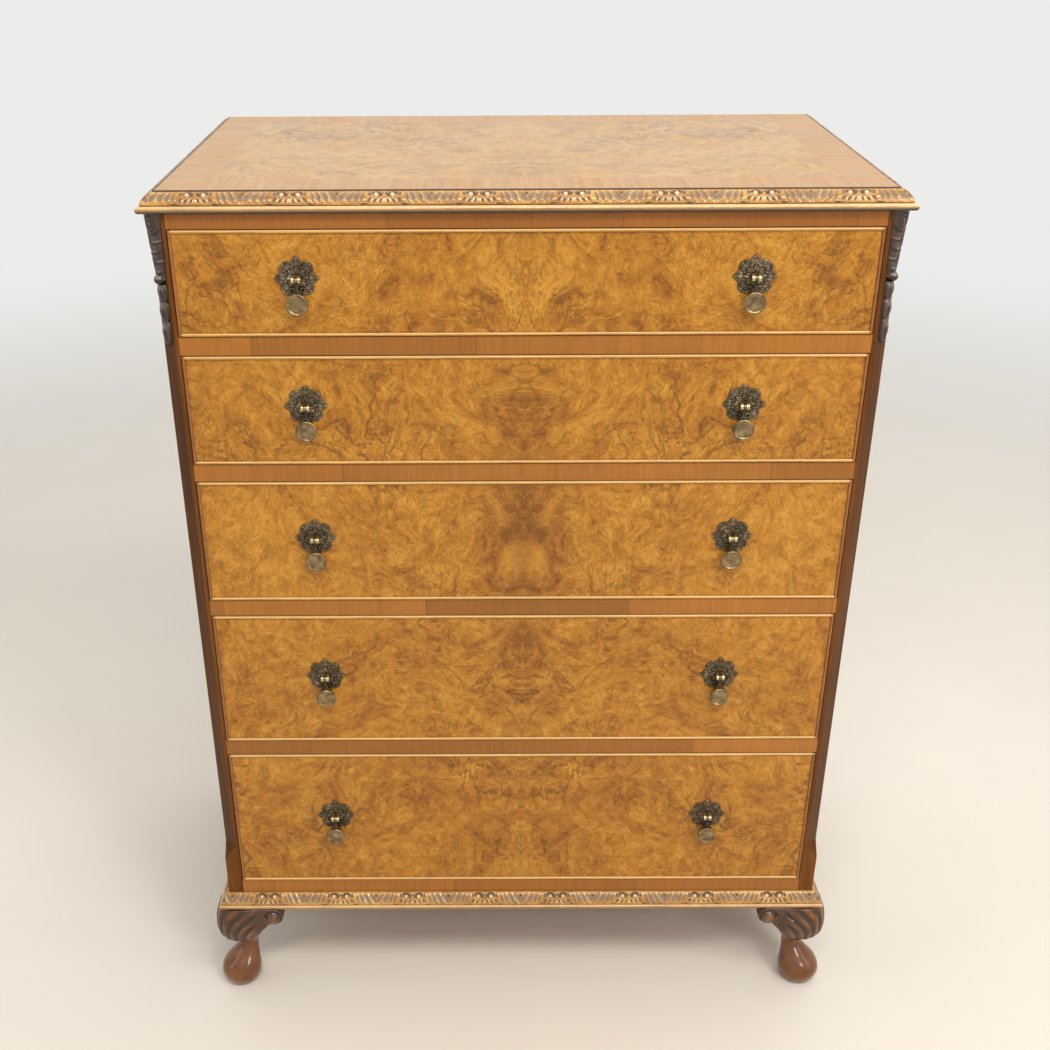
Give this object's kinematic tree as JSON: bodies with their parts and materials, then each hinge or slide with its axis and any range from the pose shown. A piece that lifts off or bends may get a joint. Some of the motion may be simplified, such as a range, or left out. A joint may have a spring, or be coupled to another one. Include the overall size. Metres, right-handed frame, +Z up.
{
  "type": "chest of drawers",
  "caption": "Tall burr walnut chest of graduated drawers with drop handles, carved top and base mouldings, canted corners and cabriole feet.",
  "frame": {"origin": "on the floor under the middle of the whole piece", "axes": "+X to the right seen from the front, +Y to the back, +Z up; the drawers open towards -Y"},
  "size_m": [0.7922, 0.4666, 1.029],
  "materials": {
    "burr_walnut": "book-matched burr veneer under a warm gloss polish",
    "burr_top": "burr veneer, polished, slightly sun-faded",
    "straight_walnut": "straight-grained walnut veneer, polished",
    "post_walnut": "walnut lipping, polished",
    "cross_walnut": "cross-grained walnut veneer, polished",
    "bead_walnut": "pale solid bead, polished",
    "carved_edge": "carved walnut, dark in the hollows",
    "carved_walnut": "carved walnut, dark in the hollows",
    "dark_walnut": "dark stained walnut, gloss polish",
    "lining_wood": "plain planed wood, unpolished",
    "lining_ply": "plain sheet, unpolished",
    "back_ply": "plain sheet, unpolished",
    "antique_brass": "darkened cast brass, worn bright on the edges"
  },
  "bodies": {
    "case": {"left_side": "straight_walnut", "right_side": "straight_walnut", "corner_posts": "post_walnut", "corner_scrolls": "carved_walnut", "top_board": "burr_top", "top_moulding": "carved_edge", "base_moulding": "carved_edge", "frieze_rail": "cross_walnut", "drawer_rails": "cross_walnut", "drawer_runners": "lining_wood", "drawer_stops": "lining_wood", "back_panel": "back_ply", "bottom_board": "back_ply", "front_feet": "dark_walnut", "rear_feet": "dark_walnut"},
    "drawer_1": {"drawer_1_front": "burr_walnut", "drawer_1_cock_bead": "bead_walnut", "drawer_1_sides": "lining_wood", "drawer_1_back": "lining_wood", "drawer_1_bottom": "lining_ply", "drawer_1_handle_plates": "antique_brass", "drawer_1_handle_fixings": "antique_brass"},
    "drawer_1_left_drop": {"drawer_1_left_drop": "antique_brass"},
    "drawer_1_right_drop": {"drawer_1_right_drop": "antique_brass"},
    "drawer_2": {"drawer_2_front": "burr_walnut", "drawer_2_cock_bead": "bead_walnut", "drawer_2_sides": "lining_wood", "drawer_2_back": "lining_wood", "drawer_2_bottom": "lining_ply", "drawer_2_handle_plates": "antique_brass", "drawer_2_handle_fixings": "antique_brass"},
    "drawer_2_left_drop": {"drawer_2_left_drop": "antique_brass"},
    "drawer_2_right_drop": {"drawer_2_right_drop": "antique_brass"},
    "drawer_3": {"drawer_3_front": "burr_walnut", "drawer_3_cock_bead": "bead_walnut", "drawer_3_sides": "lining_wood", "drawer_3_back": "lining_wood", "drawer_3_bottom": "lining_ply", "drawer_3_handle_plates": "antique_brass", "drawer_3_handle_fixings": "antique_brass"},
    "drawer_3_left_drop": {"drawer_3_left_drop": "antique_brass"},
    "drawer_3_right_drop": {"drawer_3_right_drop": "antique_brass"},
    "drawer_4": {"drawer_4_front": "burr_walnut", "drawer_4_cock_bead": "bead_walnut", "drawer_4_sides": "lining_wood", "drawer_4_back": "lining_wood", "drawer_4_bottom": "lining_ply", "drawer_4_handle_plates": "antique_brass", "drawer_4_handle_fixings": "antique_brass"},
    "drawer_4_left_drop": {"drawer_4_left_drop": "antique_brass"},
    "drawer_4_right_drop": {"drawer_4_right_drop": "antique_brass"},
    "drawer_5": {"drawer_5_front": "burr_walnut", "drawer_5_cock_bead": "bead_walnut", "drawer_5_sides": "lining_wood", "drawer_5_back": "lining_wood", "drawer_5_bottom": "lining_ply", "drawer_5_handle_plates": "antique_brass", "drawer_5_handle_fixings": "antique_brass"},
    "drawer_5_left_drop": {"drawer_5_left_drop": "antique_brass"},
    "drawer_5_right_drop": {"drawer_5_right_drop": "antique_brass"}
  },
  "joints": [
    {"name": "drawer_1_slide", "type": "slide", "parent": "case", "child": "drawer_1", "axis": [0, -1, 0], "range_m": [0, 0.3]},
    {"name": "drawer_1_left_drop_swing", "type": "hinge", "parent": "drawer_1", "child": "drawer_1_left_drop", "pos_m": [-0.229, -0.21855, 0.944], "axis": [-1, 0, 0], "range_deg": [0, 95]},
    {"name": "drawer_1_right_drop_swing", "type": "hinge", "parent": "drawer_1", "child": "drawer_1_right_drop", "pos_m": [0.229, -0.21855, 0.944], "axis": [-1, 0, 0], "range_deg": [0, 95]},
    {"name": "drawer_2_slide", "type": "slide", "parent": "case", "child": "drawer_2", "axis": [0, -1, 0], "range_m": [0, 0.3]},
    {"name": "drawer_2_left_drop_swing", "type": "hinge", "parent": "drawer_2", "child": "drawer_2_left_drop", "pos_m": [-0.229, -0.21855, 0.8085], "axis": [-1, 0, 0], "range_deg": [0, 95]},
    {"name": "drawer_2_right_drop_swing", "type": "hinge", "parent": "drawer_2", "child": "drawer_2_right_drop", "pos_m": [0.229, -0.21855, 0.8085], "axis": [-1, 0, 0], "range_deg": [0, 95]},
    {"name": "drawer_3_slide", "type": "slide", "parent": "case", "child": "drawer_3", "axis": [0, -1, 0], "range_m": [0, 0.3]},
    {"name": "drawer_3_left_drop_swing", "type": "hinge", "parent": "drawer_3", "child": "drawer_3_left_drop", "pos_m": [-0.229, -0.21855, 0.6545], "axis": [-1, 0, 0], "range_deg": [0, 95]},
    {"name": "drawer_3_right_drop_swing", "type": "hinge", "parent": "drawer_3", "child": "drawer_3_right_drop", "pos_m": [0.229, -0.21855, 0.6545], "axis": [-1, 0, 0], "range_deg": [0, 95]},
    {"name": "drawer_4_slide", "type": "slide", "parent": "case", "child": "drawer_4", "axis": [0, -1, 0], "range_m": [0, 0.3]},
    {"name": "drawer_4_left_drop_swing", "type": "hinge", "parent": "drawer_4", "child": "drawer_4_left_drop", "pos_m": [-0.229, -0.21855, 0.475], "axis": [-1, 0, 0], "range_deg": [0, 95]},
    {"name": "drawer_4_right_drop_swing", "type": "hinge", "parent": "drawer_4", "child": "drawer_4_right_drop", "pos_m": [0.229, -0.21855, 0.475], "axis": [-1, 0, 0], "range_deg": [0, 95]},
    {"name": "drawer_5_slide", "type": "slide", "parent": "case", "child": "drawer_5", "axis": [0, -1, 0], "range_m": [0, 0.3]},
    {"name": "drawer_5_left_drop_swing", "type": "hinge", "parent": "drawer_5", "child": "drawer_5_left_drop", "pos_m": [-0.229, -0.21855, 0.271], "axis": [-1, 0, 0], "range_deg": [0, 95]},
    {"name": "drawer_5_right_drop_swing", "type": "hinge", "parent": "drawer_5", "child": "drawer_5_right_drop", "pos_m": [0.229, -0.21855, 0.271], "axis": [-1, 0, 0], "range_deg": [0, 95]}
  ]
}
